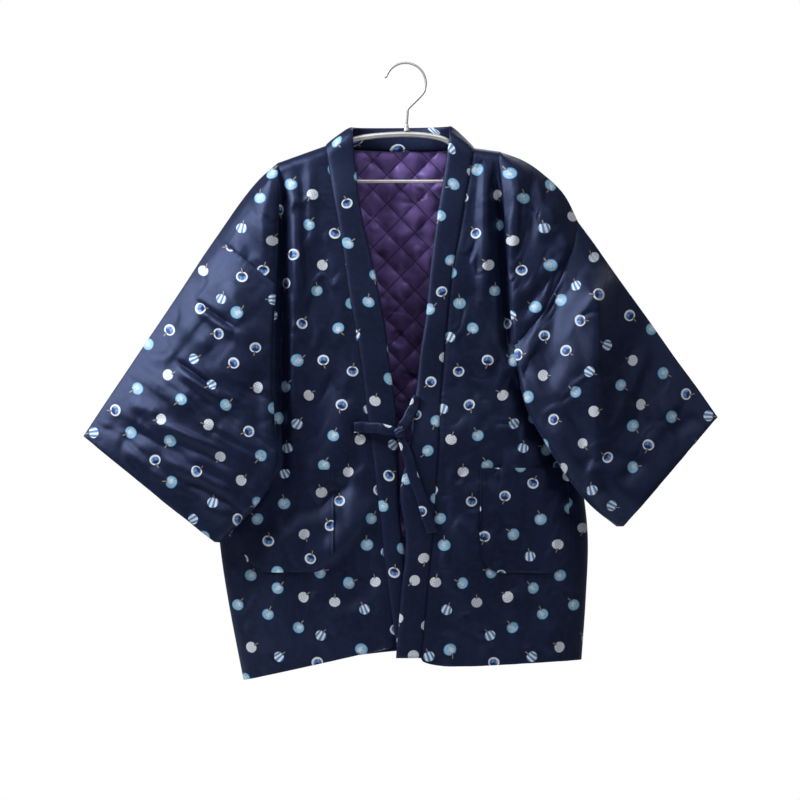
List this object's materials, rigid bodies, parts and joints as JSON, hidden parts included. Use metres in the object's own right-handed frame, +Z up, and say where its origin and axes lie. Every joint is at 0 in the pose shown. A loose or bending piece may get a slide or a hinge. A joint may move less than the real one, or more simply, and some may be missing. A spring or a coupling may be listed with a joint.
{
  "type": "padded short coat on a hanger",
  "caption": "Hanten, a padded Japanese short coat with wide straight sleeves, a long collar band, patch pockets and a tied front, hanging on a light metal hanger.",
  "frame": {"origin": "underside of the hook's top, where a rail carries the hanger", "axes": "+Z up, the coat's front faces -Y, the wearer's left is +X"},
  "size_m": [0.9012, 0.1407, 0.8811],
  "materials": {
    "cotton_print": "navy cotton with a soft sheen and small scattered fruit motifs",
    "lining_satin": "purple satin lining quilted in diamonds",
    "hanger_metal": "light, smooth, half gloss"
  },
  "bodies": {
    "root": {"front_right": "cotton_print", "front_left": "cotton_print", "back": "cotton_print", "sleeve_right": "cotton_print", "sleeve_left": "cotton_print", "collar": "cotton_print", "pocket_right": "cotton_print", "pocket_left": "cotton_print", "tie_left": "cotton_print", "tie_right": "cotton_print", "tie_tail": "cotton_print", "tie_knot": "cotton_print", "lining_back": "lining_satin", "hanger_frame": "hanger_metal", "hanger_bar": "hanger_metal", "hanger_hook": "hanger_metal", "hanger_ferrule": "hanger_metal"}
  },
  "joints": []
}
